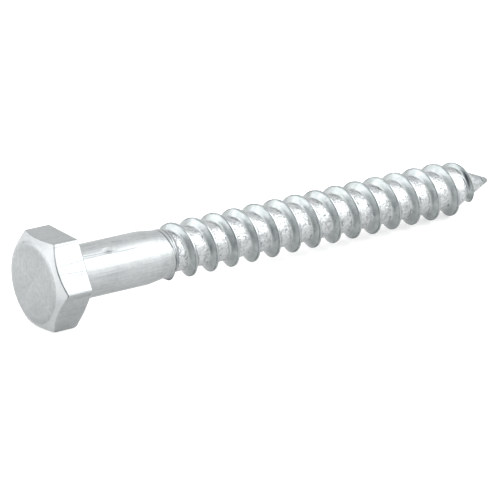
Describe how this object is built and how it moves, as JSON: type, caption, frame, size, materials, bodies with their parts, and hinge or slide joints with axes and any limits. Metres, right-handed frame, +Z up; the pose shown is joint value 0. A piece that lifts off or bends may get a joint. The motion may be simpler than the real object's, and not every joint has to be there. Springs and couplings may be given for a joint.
{
  "type": "lag screw",
  "caption": "Hex head lag screw with a chamfered head, plain shank, rolled lip, coarse right-hand wood thread running out on a cone point.",
  "frame": {"origin": "bottom centre of the box round the screw as it lies at rest, on the floor", "axes": "+X along the screw from the head to the tip, level with the floor; +Z up, out of the head flat that lies uppermost; the screw's own axis dips 2.0 degrees from +X towards the tip"},
  "size_m": [0.0802, 0.0148, 0.0131],
  "materials": {
    "zinc_plate": "bright zinc plating on steel, satin with fine drawing lines on the shank and small dimples between the turns"
  },
  "bodies": {
    "root": {"lag_screw": "zinc_plate"}
  },
  "joints": []
}
